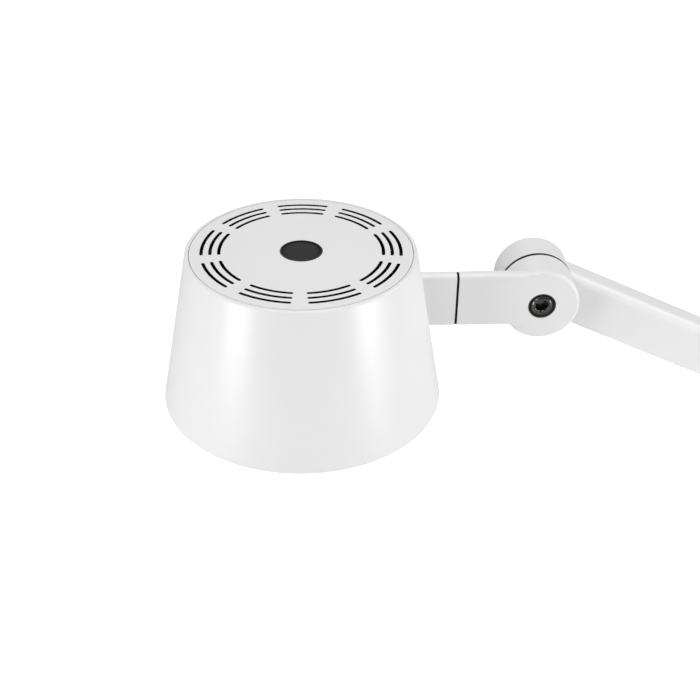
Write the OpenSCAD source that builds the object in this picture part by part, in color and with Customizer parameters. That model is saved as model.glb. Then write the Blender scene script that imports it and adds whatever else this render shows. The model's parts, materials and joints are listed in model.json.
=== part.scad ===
// Folding desk lamp with a cone shade, two arms on lap hinges and a round weighted base.
// Millimetres, +Z up. The origin is the centre of the base's underside.
// The arms stand in the XZ plane, with the shade on the -X side and the screw heads facing -Y.

/* [Pose] */
// Angle of the lower arm above the table
low_angle = 60; // [45:1:75]
// Angle at which the upper arm falls from the head to the elbow
up_angle = 25.1; // [10:0.5:40]

/* [Shade] */
// Diameter of the shade's open end
shade_d = 125; // [115:1:150]
// Diameter that the shade's cone has at its top
shade_top_d = 100; // [96:1:108]
// Height of the shade
shade_h = 72; // [68:1:90]
// Thickness of the shade's wall
shade_wall = 1.8; // [1.2:0.1:2.4]
// Rounding of the shade's top and bottom edges
shade_edge_r = 0.8; // [0.4:0.1:1.2]
// Depth of the light's front below which the shade's rim hangs
rim_drop = 12; // [8:1:16]

/* [Vent plate] */
// Width of the shade's top rim outside the seam around the plate
rim_land = 1.85; // [1.4:0.05:4]
// Thickness of the vent plate
plate_t = 1.5; // [1.2:0.1:2.4]
// Gap of the seam around the plate
seam_gap = 0.3; // [0.2:0.05:0.8]
// Groups of slots around the plate
slot_groups = 9; // [5:1:9]
// Rows of slots in a group
slot_rows = 3; // [1:1:3]
// Angle covered by a group
slot_span = 29; // [16:1:34]
// Turn of the slot pattern
slot_turn = 8; // [0:1:39]
// Distance from the plate's edge to the outermost row of slots
slot_in = 5.2; // [4.6:0.1:8]
// Distance from one row to the next
slot_pitch = 3.75; // [3:0.05:4]
// Width of a slot
slot_w = 1.5; // [1:0.1:1.8]

/* [Button] */
// Diameter of the button's cap
button_d = 16.6; // [12:0.2:18]
// Travel of the button
button_travel = 0.8; // [0.4:0.1:1]
// Thickness of the button's cap
button_t = 2.4; // [2:0.1:3]
// Width of the ring around the button
bezel_w = 0.7; // [0.5:0.1:1.2]
// Height of the ring above the plate
bezel_proud = 0.2; // [0:0.1:0.5]

/* [Light] */
// Clearance between the heat sink and the shade's lip
sink_gap = 2.6; // [1.6:0.1:6]
// Thickness of the heat sink's plate
sink_t = 3; // [2:0.1:4]
// Height of the heat sink's fins
fin_h = 8; // [4:0.5:8.5]
// Number of fins
fin_count = 24; // [12:1:30]
// Thickness of a fin
fin_t = 1.2; // [0.8:0.1:1.6]
// Diameter of the light board
board_d = 62; // [56:1:64]
// Thickness of the light board
board_t = 1.6; // [1:0.1:2]
// Number of lights on the board
led_count = 24; // [12:1:30]
// Edge of one light
led_w = 2.8; // [2:0.1:3]
// Thickness of the reflector's wall
reflector_t = 1; // [0.6:0.1:1.4]
// Thickness of the diffuser
diffuser_t = 2; // [1.5:0.1:3]

/* [Hinges] */
// Diameter of the hinge discs
disc_d = 33.6; // [32.4:0.2:38]
// Thickness of the front disc and of the lower arm
near_t = 16.5; // [14:0.5:18]
// Thickness of the back disc and of the upper arm
far_t = 16; // [14:0.5:18]
// Gap between the two discs of a hinge
hinge_gap = 1.2; // [0.8:0.1:2]
// Rounding of the discs' outer edges
disc_edge_r = 1.6; // [0.8:0.1:2.5]
// Rounding of the discs' edges at the gap
gap_edge_r = 0.4; // [0.2:0.1:0.8]
// Diameter of the hinge bolt's shank
bolt_d = 6; // [5:0.5:6]
// Diameter of the hinge bolt's head
head_d = 10; // [9:0.1:10.4]
// Height of the hinge bolt's head
head_h = 6; // [5:0.1:6]
// Diameter of the recess around the bolt's head
recess_d = 12.4; // [12:0.1:13]
// Depth of that recess
recess_h = 6.6; // [6.4:0.1:7.6]
// Width across the flats of the hinge nut
nut_w = 10; // [9:0.1:10.4]
// Thickness of the hinge nut
nut_h = 4.6; // [3:0.1:4.8]
// Thickness of the spring washer under the nut
spring_t = 1.2; // [0.8:0.1:1.4]
// Diameter of the cap over the nut
cap_d = 17; // [15:0.2:18]
// Thickness of that cap
cap_t = 1.8; // [1.2:0.1:2]
// Radial running clearance of every turning fit
fit = 0.05; // [0.02:0.01:0.1]

/* [Neck] */
// Distance from the shade's axis to the head hinge
reach = 105.9; // [104:0.1:115]
// Depth of the neck's axis below the top of the shade
neck_drop = 25; // [24:0.1:27]
// Height of the neck's axis above the head hinge
neck_rise = 2.8; // [0:0.1:3]
// Distance from the head hinge to the swivel seam
seam_x = 37.9; // [34:0.1:39]
// Gap of the swivel seam
swivel_gap = 1.1; // [0.8:0.1:1.5]
// Thickness of the neck's bar
neck_t = 6.5; // [6:0.1:9]
// Height of the neck's bar
neck_h = 25.8; // [20:0.1:26]
// Rounding of the neck's edges
neck_edge_r = 2.4; // [1:0.1:2.8]
// Fillet under the neck where it meets the disc
neck_fillet_r = 4; // [2:0.5:5]
// Diameter of the swivel's hollow axle
axle_d = 4; // [3:0.1:4.4]
// Bore of that axle
axle_bore_d = 2.4; // [1.6:0.1:2.4]
// Width across the flats of the axle's nut
axle_nut_w = 7; // [6:0.1:8]
// Thickness of the axle's nut
axle_nut_h = 3.2; // [2:0.1:4]

/* [Arms] */
// Length of the upper arm between its hinges
up_len = 300; // [260:5:380]
// Length of the lower arm between its hinges
low_len = 300; // [260:5:380]
// Height of the arms' section
arm_h = 23.6; // [20:0.1:26]
// Rounding of the arms' edges
arm_edge_r = 4; // [2:0.1:4]
// Width of the wire channel in the back of an arm
channel_w = 10; // [7:0.5:11]
// Depth of the wire channel
channel_h = 7.5; // [6:0.1:8]
// Thickness of the cover over the channel
cover_t = 1.5; // [1:0.1:2]
// Diameter of the wire inside the arms
wire_d = 4; // [3:0.1:4.4]

/* [Base] */
// Diameter of the base
base_d = 200; // [170:5:240]
// Height of the base
base_h = 20; // [18:0.5:26]
// Wall of the base's cover
base_wall = 2; // [1.5:0.1:3]
// Rounding of the cover's top edge
base_edge_r = 5; // [3:0.5:7]
// Thickness of the weight
weight_t = 9; // [8:0.5:10]
// Thickness of the foot pad
pad_t = 2; // [1:0.1:3]
// Distance of the foot pad's edge from the weight's edge
pad_in = 2; // [0:0.5:6]
// Height of the lower arm's hinge
shoulder_z = 62; // [58:1:80]
// Diameter of the turret
turret_d = 54; // [48:1:64]
// Height of the turret's round foot
turret_h = 12; // [12:0.5:16]
// Thickness of the washer under the turret
swivel_washer_t = 1; // [0.6:0.1:1.6]
// Diameter of the swivel bolt
swivel_bolt_d = 10; // [8:0.5:12]
// Diameter of the four base screws
screw_d = 4; // [3:0.5:5]

/* [Hidden] */
$fn = 64;

// Small lengths shared by several pieces
eps = 0.01;
over = 1;
slack = 0.1;
loose = 0.3;
white = [0.93, 0.93, 0.93];
dark = [0.16, 0.16, 0.17];
steel = [0.7, 0.71, 0.73];

// Places of the hinges, from the base up to the head
pair_t = near_t + hinge_gap + far_t;
front_y = -pair_t / 2;
near_y = front_y + near_t / 2;
neck_y = front_y + neck_t / 2;
far_y = pair_t / 2 - far_t / 2;
far_front_y = pair_t / 2 - far_t;
shoulder = [0, 0, shoulder_z];
elbow = shoulder + low_len * [cos(low_angle), 0, sin(low_angle)];
head = elbow + up_len * [-cos(up_angle), 0, sin(up_angle)];
shade_x = head[0] - reach;
plate_z = head[2] + neck_rise + neck_drop;

// Sizes of the shade, counted down from its top
shade_r = shade_d / 2;
shade_top_r = shade_top_d / 2;
slope = (shade_r - shade_top_r) / shade_h;
lip_t = 2;
lip_w = 3.5;
lip_cone = 3;
plate_hole_r = shade_top_r - rim_land;
plate_r = plate_hole_r - seam_gap;
slot_r = plate_r - slot_in - (slot_rows - 1) * slot_pitch;
light_z = -shade_h + rim_drop;
trim_h = 2.4;
trim_w = 3;

// Sizes of the light, counted down from the top of the shade
sink_r = plate_hole_r - lip_w - sink_gap;
sink_top = -plate_t - fin_h - lip_t - loose;
sink_z = sink_top - sink_t;
board_z = sink_z - board_t;
led_h = 0.8;
led_ring_r = board_d / 2 - 4;
led_ring_inner = 0.55;
led_outer_share = 2 / 3;
post_r = 3.5;
post_in = 7;
sink_post_r = board_d / 2 - post_in;
sink_screw_r = 1.5;
sink_screw_hold = 6;
sink_screw_head_r = 2.8;
sink_screw_head_h = 1.6;
reflector_r = board_d / 2 + 1;
reflector_out_r = inner_r(light_z + diffuser_t) - loose;
flange_w = 4;

// Sizes of the button and its switch
bezel_r = button_d / 2 + slack + bezel_w;
bezel_flange_r = bezel_r + 3;
bezel_flange_t = 1.2;
skirt_h = 6.5;
skirt_z = -plate_t - skirt_h;
stem_r = 2.5;
switch_w = 6;
switch_h = 3.2;
switch_box_h = 2.5;
plunger_r = 1.75;
switch_t = 1.4;
stem_z = skirt_z + switch_h + button_travel + slack;

// Sizes of the hinge hardware
cap_pocket_h = cap_t;
nut_pocket_h = nut_h + spring_t + 0.4;
washer_d = disc_d - 2 * gap_edge_r - 1;
socket_w = 5;
socket_h = 3.6;
knurl_count = 24;
knurl_t = 0.3;
knurl_w = 0.6;
knurl_in = 0.8;
head_bush_t = 0.8;
head_bush_in = 0.2;

// Sizes of the neck, counted along X from the head hinge
neck_wall_r = cone_r(-neck_drop);
stub_far_x = reach - neck_wall_r;
clamp_x = reach - (neck_wall_r - shade_wall) + 4.6;
axle_in = 18;
gasket_in = 1.2;
axle_washer_t = 1.2;
axle_end_x = clamp_x + axle_washer_t + axle_nut_h + 0.6;
clamp_w = 24;
clamp_l = 10;
clamp_over = 2;
neck_screw_d = 2.5;
neck_screw_head_r = neck_screw_d * 0.85;
neck_screw_in = 7;
neck_screw_z = hex_r(axle_nut_w) + neck_screw_head_r + loose;

// Sizes of the base
weight_z = pad_t;
weight_r = base_d / 2 - base_wall - 1;
cover_z = pad_t + 0.4;
bush_t = 1.5;
bush_r = swivel_bolt_d / 2 + fit + bush_t;
bolt_head_r = swivel_bolt_d / 2 + 4;
bolt_head_h = 3.2;
bolt_recess_h = 5.4;
swivel_spring_t = 1.4;
turret_z = base_h + swivel_washer_t;
screw_ring_r = base_d * 0.31;
screw_head_r = screw_d;
screw_head_h = 2.2;
screw_boss_r = screw_d / 2 + 3;
screw_hold = 5;
socket_block = [13, 12, 9];

// Radius of the shade's outside at a height
function cone_r(z) = shade_top_r - slope * z;
// Radius of the shade's inside at a height
function inner_r(z) = cone_r(z) - shade_wall;
// Points of an arc in an outline
function arc(c, r, a0, a1, n) =
  [for (i = [0 : n]) let (a = a0 + (a1 - a0) * i / n) c + r * [cos(a), sin(a)]];

// A rectangle with true round corners, centred on the origin
module round_rect(w, h, r) {
  square([w - 2 * r, h], center = true);
  square([w, h - 2 * r], center = true);
  for (x = [-1, 1], y = [-1, 1])
    translate([x * (w / 2 - r), y * (h / 2 - r)]) circle(r);
}

// A bar along +X from x0 to x1, t thick along Y and h high
module bar(x0, x1, t, h, r) {
  translate([x0, 0, 0]) rotate([90, 0, 90])
    linear_extrude(x1 - x0) round_rect(t, h, r);
}

// Outline of half a disc, with its gap side up
module disc_outline(radius, t) {
  translate([0, -t / 2]) square([radius - disc_edge_r, t - gap_edge_r]);
  translate([0, disc_edge_r - t / 2]) square([radius, t - disc_edge_r - gap_edge_r]);
  square([radius - gap_edge_r, t / 2]);
  translate([radius - disc_edge_r, disc_edge_r - t / 2]) circle(disc_edge_r);
  translate([radius - gap_edge_r, t / 2 - gap_edge_r]) circle(gap_edge_r);
}

// A disc on the Y axis, whose gap side faces +Y for a side of 1 and -Y for a side of -1
module disc(t, side) {
  rotate([-90 * side, 0, 0]) rotate_extrude($fn = 128) disc_outline(disc_d / 2, t);
}

// A cylinder along +Y from y0 to y1
module rod_y(r, y0, y1, n = 64) {
  translate([0, y1, 0]) rotate([90, 0, 0]) cylinder(r = r, h = y1 - y0, $fn = n);
}

// A cylinder along +X from x0 to x1
module rod_x(r, x0, x1, n = 64) {
  translate([x0, 0, 0]) rotate([0, 90, 0]) cylinder(r = r, h = x1 - x0, $fn = n);
}

// A flat ring between two heights
module ring(r_out, r_in, z0, z1) {
  translate([0, 0, z0]) difference() {
    cylinder(r = r_out, h = z1 - z0, $fn = 128);
    translate([0, 0, -over]) cylinder(r = r_in, h = z1 - z0 + 2 * over, $fn = 128);
  }
}

// Corner radius of a hexagon of a given width across its flats
function hex_r(w) = w / sqrt(3);

// The bore and the recess that a front disc has for its bolt
module near_cuts() {
  rod_y(bolt_d / 2 + fit, -near_t / 2 - over, near_t / 2 + over);
  rod_y(recess_d / 2, -near_t / 2 - over, -near_t / 2 + recess_h);
}

// The bore and the pockets that a back disc has for its nut and cap
module far_cuts() {
  back = far_t / 2;
  rod_y(bolt_d / 2 + fit, -back - over, back + over);
  rod_y(hex_r(nut_w + 2 * slack), back - cap_pocket_h - nut_pocket_h, back, 6);
  rod_y(cap_d / 2 + slack, back - cap_pocket_h, back + over);
}

// Hinge hardware, each on the hinge's own axis
nut_floor_y = pair_t / 2 - cap_pocket_h - nut_pocket_h;
module hinge_bolt() {
  seat = front_y + recess_h - head_bush_t;
  difference() {
    union() {
      rod_y(head_d / 2, seat - head_h, seat);
      rod_y(bolt_d / 2, seat - eps, nut_floor_y + spring_t + nut_h);
      for (i = [0 : knurl_count - 1])
        rotate([0, i * 360 / knurl_count, 0]) translate([head_d / 2, seat - head_h / 2, 0])
          cube([knurl_t, head_h - 2 * knurl_in, knurl_w], center = true);
    }
    rod_y(hex_r(socket_w), seat - head_h - over, seat - head_h + socket_h, 6);
  }
}
module hinge_bush() {
  recess_floor_y = front_y + recess_h;
  difference() {
    rod_y(recess_d / 2 - slack, front_y + head_bush_in, recess_floor_y);
    rod_y((head_d + knurl_t) / 2 + loose, front_y, recess_floor_y - head_bush_t);
    rod_y(bolt_d / 2 + fit, front_y, recess_floor_y + over);
  }
}
module hinge_nut() {
  difference() {
    rod_y(hex_r(nut_w), nut_floor_y + spring_t, nut_floor_y + spring_t + nut_h, 6);
    rod_y(bolt_d / 2 + fit, nut_floor_y, pair_t);
  }
}
module hinge_spring() {
  difference() {
    rod_y(nut_w / 2 - slack, nut_floor_y, nut_floor_y + spring_t);
    rod_y(bolt_d / 2 + fit, nut_floor_y - over, pair_t);
  }
}
module hinge_washer() {
  difference() {
    rod_y(washer_d / 2, front_y + near_t, far_front_y);
    rod_y(bolt_d / 2 + fit, front_y, pair_t);
  }
}
module hinge_cap() {
  rod_y(cap_d / 2, pair_t / 2 - cap_t, pair_t / 2);
}

// A link of two discs joined by a bar, with a wire channel in its back
channel_end_in = 7;
channel_end = disc_d / 2 + channel_end_in;
cover_side = 1.5;
rib_in = 4;
rib_w = 1;
rib_h = 2.4;
wire_in = 3;
module link(len, t, side) {
  difference() {
    union() {
      disc(t, side);
      translate([len, 0, 0]) disc(t, side);
      bar(0, len, t, arm_h, arm_edge_r);
    }
    channel_cuts(len, t);
  }
}
module channel_cuts(len, t) {
  mid = len / 2;
  run = len - 2 * channel_end;
  translate([mid, t / 2, 0]) cube([run, 2 * cover_t, channel_w + 2 * cover_side], center = true);
  translate([mid, t / 2 - channel_h / 2, 0]) cube([run - 2 * cover_side, channel_h, channel_w], center = true);
}
module link_cover(len, t) {
  run = len - 2 * channel_end - 2 * slack;
  translate([len / 2, t / 2 - cover_t / 2, 0])
    cube([run, cover_t, channel_w + 2 * cover_side - 2 * slack], center = true);
  for (z = [-1, 1])
    translate([len / 2, t / 2 - cover_t - rib_h / 2, z * (channel_w / 2 - slack - rib_w / 2)])
      cube([run - 2 * rib_in, rib_h + 2 * eps, rib_w], center = true);
}
module link_wire(len, t) {
  translate([0, t / 2 - channel_h + wire_d / 2 + slack, 0])
    rod_x(wire_d / 2, channel_end + wire_in, len - channel_end - wire_in, 32);
}

// Frames of the moving pieces
module at_lower() {
  translate(shoulder + [0, near_y, 0]) rotate([0, -low_angle, 0]) children();
}
module at_upper() {
  translate(elbow + [0, far_y, 0]) rotate([0, up_angle - 180, 0]) children();
}
module at_far_disc(pivot) {
  translate(pivot) rotate([0, up_angle, 0]) children();
}
module at_neck() {
  translate(head + [0, neck_y, neck_rise]) rotate([0, 0, 180]) children();
}
module at_shade() {
  translate([shade_x, neck_y, plate_z]) children();
}

// Base
module base_cover() {
  color(white) difference() {
    union() {
      rotate_extrude($fn = 160) polygon(concat(
        [[0, base_h]],
        arc([base_d / 2 - base_edge_r, base_h - base_edge_r], base_edge_r, 90, 0, 10),
        [[base_d / 2, cover_z], [base_d / 2 - base_wall, cover_z]],
        arc([base_d / 2 - base_edge_r, base_h - base_edge_r], base_edge_r - base_wall, 0, 90, 10),
        [[0, base_h - base_wall]]));
      ring(bush_r + 6, bush_r + slack, weight_z + weight_t, base_h - base_wall + eps);
      for (i = [0 : 3]) rotate([0, 0, 45 + 90 * i]) translate([screw_ring_r, 0, weight_z + weight_t])
        cylinder(r = screw_boss_r, h = base_h - base_wall - weight_z - weight_t + eps);
    }
    translate([0, 0, weight_z]) cylinder(r = bush_r + slack, h = base_h);
    for (i = [0 : 3]) rotate([0, 0, 45 + 90 * i]) translate([screw_ring_r, 0, weight_z])
      cylinder(r = screw_d / 2 + slack, h = weight_t + screw_hold);
    translate([base_d / 2, 0, weight_z + socket_block[2] / 2])
      cube(socket_block + [base_wall, 2 * slack, 2 * slack], center = true);
  }
}
module base_weight() {
  color(dark) difference() {
    translate([0, 0, weight_z]) cylinder(r = weight_r, h = weight_t, $fn = 160);
    cylinder(r = bush_r + slack, h = base_h);
    cylinder(r = bolt_head_r + 1, h = weight_z + bolt_recess_h + swivel_spring_t);
    for (i = [0 : 3]) rotate([0, 0, 45 + 90 * i]) translate([screw_ring_r, 0, 0]) {
      cylinder(r = screw_d / 2 + slack, h = base_h);
      cylinder(r = screw_head_r + slack, h = weight_z + screw_head_h);
    }
    translate([base_d / 2 - socket_block[0] / 2, 0, base_h / 2])
      cube([socket_block[0] + 6, socket_block[1] + 1, base_h], center = true);
  }
}
module foot_pad() {
  color(dark) cylinder(r = weight_r - pad_in, h = pad_t, $fn = 160);
}
module base_screws() {
  color(steel) for (i = [0 : 3]) rotate([0, 0, 45 + 90 * i]) translate([screw_ring_r, 0, weight_z]) {
    difference() {
      union() {
        cylinder(r = screw_head_r, h = screw_head_h);
        translate([0, 0, screw_head_h - eps])
          cylinder(r = screw_d / 2, h = weight_t - screw_head_h + screw_hold - 1);
      }
      translate([0, 0, -over]) cylinder(r = hex_r(screw_d * 0.6), h = over + 1.4, $fn = 6);
    }
  }
}
module power_socket() {
  hole_r = 2.8;
  pin_r = 1;
  depth = socket_block[0] - 4;
  color(dark) translate([base_d / 2 - socket_block[0] / 2 - 0.4, 0, weight_z + socket_block[2] / 2]) {
    difference() {
      cube(socket_block, center = true);
      rod_x(hole_r, socket_block[0] / 2 - depth, socket_block[0]);
    }
    rod_x(pin_r, socket_block[0] / 2 - depth - eps, socket_block[0] / 2 - over, 32);
  }
}
module swivel_bush() {
  color(dark) ring(bush_r, swivel_bolt_d / 2 + fit, weight_z + bolt_recess_h + swivel_spring_t, base_h);
}

// Turret with the back disc of the shoulder hinge
turret_hold = 9;
module turret() {
  top = turret_z + turret_h;
  color(white) difference() {
    union() {
      rotate_extrude($fn = 128) polygon(concat(
        [[0, top]],
        arc([turret_d / 2 - 4, top - 4], 4, 90, 0, 8),
        [[turret_d / 2, turret_z], [0, turret_z]]));
      translate([0, far_y, shoulder_z]) disc(far_t, -1);
      translate([0, far_y, 0]) linear_extrude_bar(top - 4, shoulder_z);
    }
    translate(shoulder + [0, far_y, 0]) far_cuts();
    translate([0, 0, turret_z - over]) cylinder(r = swivel_bolt_d / 2 + slack, h = turret_hold + over);
  }
}
module linear_extrude_bar(z0, z1) {
  translate([0, 0, z0]) linear_extrude(z1 - z0) round_rect(arm_h, far_t, arm_edge_r);
}
module swivel_washer() {
  color(dark) ring(turret_d / 2 - 3, swivel_bolt_d / 2 + slack, base_h, turret_z);
}
module swivel_bolt() {
  seat = weight_z + bolt_recess_h;
  color(steel) difference() {
    union() {
      translate([0, 0, seat - bolt_head_h]) cylinder(r = bolt_head_r, h = bolt_head_h);
      translate([0, 0, seat - eps]) cylinder(r = swivel_bolt_d / 2, h = turret_z + turret_hold - 1 - seat);
    }
    translate([0, 0, seat - bolt_head_h - over])
      cylinder(r = hex_r(swivel_bolt_d * 0.6), h = over + 2, $fn = 6);
  }
}
module swivel_spring_washer() {
  seat = weight_z + bolt_recess_h;
  color(steel) ring(bolt_head_r, swivel_bolt_d / 2 + slack, seat, seat + swivel_spring_t);
}

// Arms
module lower_arm() {
  color(white) at_lower() difference() {
    link(low_len, near_t, 1);
    near_cuts();
    translate([low_len, 0, 0]) near_cuts();
  }
}
module lower_arm_cover() {
  color(white) at_lower() link_cover(low_len, near_t);
}
module lower_arm_wire() {
  color(dark) at_lower() link_wire(low_len, near_t);
}
module upper_arm() {
  color(white) at_upper() difference() {
    link(up_len, far_t, -1);
    far_cuts();
    translate([up_len, 0, 0]) far_cuts();
  }
}
module upper_arm_cover() {
  color(white) at_upper() link_cover(up_len, far_t);
}
module upper_arm_wire() {
  color(dark) at_upper() link_wire(up_len, far_t);
}

// Neck, from the head hinge to the swivel seam
module knuckle() {
  color(white) difference() {
    union() {
      translate(head + [0, near_y, 0]) disc(near_t, 1);
      at_neck() bar(0, seam_x - swivel_gap / 2, neck_t, neck_h, neck_edge_r);
      at_neck() neck_fillet();
    }
    translate(head + [0, near_y, 0]) near_cuts();
    at_neck() rod_x(axle_d / 2 + slack, axle_in, seam_x);
  }
}
module neck_fillet() {
  low = neck_h / 2;
  down = low - neck_rise + neck_fillet_r;
  across = sqrt(pow(disc_d / 2 + neck_fillet_r, 2) - down * down);
  touch = disc_d / (disc_d + 2 * neck_fillet_r);
  depth = neck_t - 2 * neck_edge_r;
  translate([0, depth / 2, -neck_rise]) rotate([90, 0, 0]) linear_extrude(depth) difference() {
    polygon([[0, 0], [across, 0], [across, -down], [across * touch, -down * touch]]);
    translate([across, -down]) circle(neck_fillet_r);
  }
}
module swivel_axle() {
  color(steel) at_neck() difference() {
    rod_x(axle_d / 2, axle_in, axle_end_x);
    rod_x(axle_bore_d / 2, axle_in - over, axle_end_x + over);
  }
}
module seam_gasket() {
  color(dark) at_neck() difference() {
    bar(seam_x - swivel_gap / 2, seam_x + swivel_gap / 2,
      neck_t - gasket_in, neck_h - gasket_in, neck_edge_r - gasket_in / 2);
    rod_x(axle_d / 2 + fit, seam_x - over, seam_x + over);
  }
}
module axle_washer() {
  color(steel) at_neck() difference() {
    rod_x(axle_nut_w / 2 + 0.5, clamp_x, clamp_x + axle_washer_t);
    rod_x(axle_d / 2 + fit, clamp_x - over, clamp_x + axle_washer_t + over);
  }
}
module axle_nut() {
  start = clamp_x + axle_washer_t;
  color(steel) at_neck() difference() {
    rod_x(hex_r(axle_nut_w), start, start + axle_nut_h, 6);
    rod_x(axle_d / 2 + fit, start - over, start + axle_nut_h + over);
  }
}

// Solid cone of the shade, grown outwards by a distance
module shade_cone(grow) {
  translate([0, 0, -shade_h])
    cylinder(r1 = shade_r + grow, r2 = shade_top_r + grow, h = shade_h, $fn = 160);
}
module neck_stub() {
  color(white) difference() {
    at_neck() difference() {
      bar(seam_x + swivel_gap / 2, clamp_x - clamp_l / 2, neck_t, neck_h, neck_edge_r);
      rod_x(axle_d / 2 + fit, 0, reach);
      neck_screw_places() rod_x(neck_screw_d / 2 + slack, stub_far_x - neck_screw_in, reach, 32);
    }
    at_shade() shade_cone(0);
  }
}
module neck_screw_places() {
  for (z = [-1, 1]) translate([0, 0, z * neck_screw_z]) children();
}
module neck_clamp() {
  color(steel) intersection() {
    at_neck() difference() {
      translate([clamp_x - clamp_l / 2, 0, 0])
        cube([clamp_l, axle_nut_w + 2 * clamp_over, clamp_w], center = true);
      rod_x(axle_d / 2 + fit, 0, reach);
      neck_screw_places() rod_x(neck_screw_d / 2 + slack, 0, reach, 32);
    }
    at_shade() shade_cone(-shade_wall);
  }
}
module neck_screws() {
  head_in = 1.4;
  color(steel) at_neck() neck_screw_places() {
    rod_x(neck_screw_d / 2, stub_far_x - neck_screw_in + over, clamp_x + eps, 32);
    rod_x(neck_screw_head_r, clamp_x, clamp_x + head_in, 32);
  }
}

// Shade, with the lip that carries the vent plate
module shade() {
  lip_z = -plate_t;
  rim = shade_edge_r;
  out_low = shade_r;
  color(white) difference() {
    at_shade() rotate_extrude($fn = 160) polygon(concat(
      [[plate_hole_r, lip_z], [plate_hole_r, 0]],
      arc([cone_r(0) - rim, -rim], rim, 90, 0, 6),
      arc([out_low - rim, -shade_h + rim], rim, 0, -90, 6),
      [[out_low - shade_wall, -shade_h], [inner_r(light_z), light_z - trim_h]],
      [[inner_r(light_z), light_z], [inner_r(lip_z - lip_t - lip_cone), lip_z - lip_t - lip_cone]],
      [[plate_hole_r - lip_w, lip_z - lip_t], [plate_hole_r - lip_w, lip_z]]));
    at_neck() rod_x(axle_d / 2 + loose, stub_far_x - neck_screw_in, clamp_x);
    at_neck() neck_screw_places() rod_x(neck_screw_d / 2 + slack, stub_far_x - neck_screw_in, clamp_x, 32);
  }
}

// Cutter for one slot, an arc with round ends
module slot_cut(r) {
  translate([0, 0, -plate_t - over]) {
    rotate([0, 0, -slot_span / 2]) rotate_extrude(angle = slot_span, $fn = 160)
      translate([r - slot_w / 2, 0]) square([slot_w, plate_t + 2 * over]);
    for (s = [-1, 1]) rotate([0, 0, s * slot_span / 2]) translate([r, 0, 0])
      cylinder(r = slot_w / 2, h = plate_t + 2 * over, $fn = 32);
  }
}
module vent_plate() {
  color(white) at_shade() difference() {
    union() {
      translate([0, 0, -plate_t]) cylinder(r = plate_r, h = plate_t, $fn = 160);
      for (i = [0 : 2]) rotate([0, 0, 120 * i + 30]) translate([sink_post_r, 0, sink_top])
        cylinder(r = post_r, h = -plate_t - sink_top + eps);
    }
    translate([0, 0, -plate_t - over]) cylinder(r = bezel_r + slack, h = plate_t + 2 * over);
    for (i = [0 : 2]) rotate([0, 0, 120 * i + 30]) translate([sink_post_r, 0, sink_top - over])
      cylinder(r = sink_screw_r + slack, h = sink_screw_hold + 2 * over, $fn = 32);
    for (g = [0 : slot_groups - 1], k = [0 : slot_rows - 1])
      rotate([0, 0, slot_turn + g * 360 / slot_groups]) slot_cut(slot_r + k * slot_pitch);
  }
}
module button_bezel() {
  color(dark) at_shade() {
    ring(bezel_r, button_d / 2 + slack, skirt_z, bezel_proud);
    ring(bezel_flange_r, bezel_r - eps, -plate_t - bezel_flange_t, -plate_t);
  }
}
module push_button() {
  color(dark) at_shade() {
    translate([0, 0, -button_t]) cylinder(r = button_d / 2, h = button_t, $fn = 96);
    translate([0, 0, stem_z]) cylinder(r = stem_r, h = -stem_z - button_t + eps);
  }
}
module button_switch() {
  color(dark) at_shade() {
    translate([0, 0, skirt_z - switch_t]) cylinder(r = bezel_r, h = switch_t, $fn = 96);
    translate([0, 0, skirt_z + switch_box_h / 2 - eps])
      cube([switch_w, switch_w, switch_box_h], center = true);
    translate([0, 0, skirt_z]) cylinder(r = plunger_r, h = switch_h, $fn = 32);
  }
}

// Light
module heat_sink() {
  fin_in = bezel_flange_r + 1;
  color(dark) at_shade() difference() {
    union() {
      translate([0, 0, sink_z]) cylinder(r = sink_r, h = sink_t, $fn = 128);
      for (i = [0 : fin_count - 1]) rotate([0, 0, (i + 0.5) * 360 / fin_count])
        translate([fin_in, -fin_t / 2, sink_top - eps]) cube([sink_r - fin_in - 0.5, fin_t, fin_h]);
    }
    for (i = [0 : 2]) rotate([0, 0, 120 * i + 30]) translate([sink_post_r, 0, 0]) {
      translate([0, 0, sink_z - over]) cylinder(r = sink_screw_r + slack, h = sink_t + 2 * over, $fn = 32);
      translate([0, 0, sink_top]) cylinder(r = post_r + loose, h = fin_h + over, $fn = 48);
    }
  }
}
module heat_sink_screws() {
  color(steel) at_shade() for (i = [0 : 2]) rotate([0, 0, 120 * i + 30]) translate([sink_post_r, 0, 0]) {
    translate([0, 0, board_z - sink_screw_head_h])
      cylinder(r = sink_screw_head_r, h = sink_screw_head_h, $fn = 48);
    translate([0, 0, board_z - eps])
      cylinder(r = sink_screw_r, h = sink_top + sink_screw_hold - board_z, $fn = 32);
  }
}
module led_board() {
  color(white) at_shade() difference() {
    translate([0, 0, board_z]) cylinder(r = board_d / 2, h = board_t, $fn = 128);
    for (i = [0 : 2]) rotate([0, 0, 120 * i + 30]) translate([sink_post_r, 0, board_z - over])
      cylinder(r = sink_screw_r + slack, h = board_t + 2 * over, $fn = 32);
  }
}
module led_row(count, r) {
  for (i = [0 : count - 1]) rotate([0, 0, (i + 0.5) * 360 / count])
    translate([r, 0, board_z - led_h / 2]) cube([led_w, led_w, led_h], center = true);
}
module leds() {
  outer = round(led_count * led_outer_share);
  color([0.95, 0.85, 0.45]) at_shade() {
    led_row(outer, led_ring_r + 1.5);
    led_row(led_count - outer, led_ring_r * led_ring_inner);
  }
}
module reflector() {
  low = light_z + diffuser_t;
  top = board_z - led_h / 2;
  color(white) at_shade() rotate_extrude($fn = 128) polygon([
    [reflector_r, top], [reflector_r + reflector_t, top],
    [reflector_out_r - flange_w + reflector_t, low + reflector_t], [reflector_out_r, low + reflector_t],
    [reflector_out_r, low], [reflector_out_r - flange_w, low]]);
}
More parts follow.
